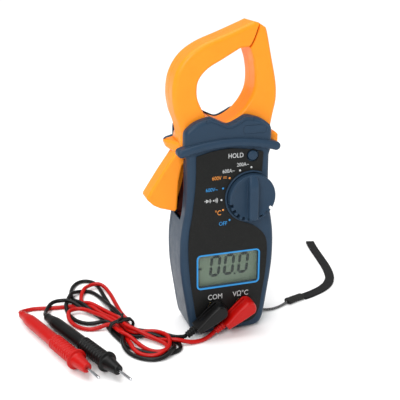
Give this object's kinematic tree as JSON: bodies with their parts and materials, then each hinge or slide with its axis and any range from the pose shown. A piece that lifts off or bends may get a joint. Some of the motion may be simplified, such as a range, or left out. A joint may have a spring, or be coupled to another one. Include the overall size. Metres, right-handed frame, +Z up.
{
  "type": "clamp meter",
  "caption": "Hand-held clamp meter with an opening current jaw, range dial, display, hold button, two plugged-in test leads and a wrist strap, standing on its flat foot.",
  "frame": {"origin": "middle of the flat foot that the meter stands on, on the body's centre plane", "axes": "+Z up along the meter towards the jaws, -Y out of the face, +X to the right seen from the front"},
  "size_m": [0.2461, 0.1682, 0.1949],
  "materials": {
    "case_plastic": "satin",
    "jaw_plastic": "semi-gloss",
    "panel_black": "fine matt film",
    "display_glass": "smooth",
    "clear_lens": "polished",
    "rubber_black": "matt",
    "lead_red": "satin",
    "lead_black": "satin",
    "steel": "polished",
    "core_steel": "laminated",
    "brass": "polished",
    "copper_coil": "wound wire",
    "board_green": "solder mask",
    "cell_wrap": "printed wrap",
    "strap_fabric": "woven"
  },
  "bodies": {
    "meter": {"battery_1": "cell_wrap", "battery_2": "cell_wrap", "battery_spring_1": "steel", "battery_spring_2": "steel", "black_plug": "lead_black", "black_plug_lead": "lead_black", "black_plug_pin": "brass", "black_probe_handle": "lead_black", "black_probe_lead": "lead_black", "black_probe_tip": "steel", "button_dome": "rubber_black", "buzzer": "rubber_black", "case_screw_1": "steel", "case_screw_2": "steel", "case_screw_3": "steel", "case_screw_4": "steel", "circuit_board": "board_green", "com_jack": "brass", "detent_ball": "steel", "detent_spring": "steel", "display_cell": "display_glass", "display_lens": "clear_lens", "face_panel": "panel_black", "fixed_coil": "copper_coil", "fixed_jaw_core": "core_steel", "fixed_jaw_front": "jaw_plastic", "fixed_jaw_rear": "jaw_plastic", "front_case": "case_plastic", "jaw_pivot_pin": "steel", "jaw_return_spring": "steel", "lead_hank": "lead_black", "lead_tie": "rubber_black", "lower_contact_plate": "steel", "lower_contact_strip": "rubber_black", "rear_case": "case_plastic", "red_plug": "lead_red", "red_plug_lead": "lead_red", "red_plug_pin": "brass", "red_probe_handle": "lead_red", "red_probe_lead": "lead_red", "red_probe_tip": "steel", "strap_band": "strap_fabric", "strap_cord": "strap_fabric", "strap_sleeve": "rubber_black", "upper_contact_plate": "steel", "upper_contact_strip": "rubber_black", "volt_jack": "brass"},
    "moving_jaw": {"moving_jaw_front": "jaw_plastic", "moving_jaw_rear": "jaw_plastic", "moving_jaw_core": "core_steel", "moving_coil": "copper_coil"},
    "dial": {"range_dial": "case_plastic", "dial_rotor": "rubber_black", "dial_wiper": "brass"},
    "hold_button": {"hold_button": "case_plastic"},
    "battery_door": {"battery_door": "case_plastic", "battery_door_screw": "steel"}
  },
  "joints": [
    {"name": "jaw_open", "type": "hinge", "parent": "meter", "child": "moving_jaw", "pos_m": [-0.019, 0, 0.121], "axis": [0, -1, 0], "range_deg": [0, 17], "stiffness_Nm_per_rad": 1.2, "springref_deg": -17.19, "deforming": ["jaw_return_spring"]},
    {"name": "dial_turn", "type": "hinge", "parent": "meter", "child": "dial", "pos_m": [0.0137, 0, 0.0912], "axis": [0, -1, 0], "range_deg": [0, 135]},
    {"name": "hold_press", "type": "slide", "parent": "meter", "child": "hold_button", "axis": [0, 1, 0], "range_m": [0, 0.0008], "stiffness_N_per_m": 1500, "springref_m": -0.0004},
    {"name": "battery_door_off", "type": "slide", "parent": "meter", "child": "battery_door", "axis": [0, 1, 0], "range_m": [0, 0.025]}
  ]
}
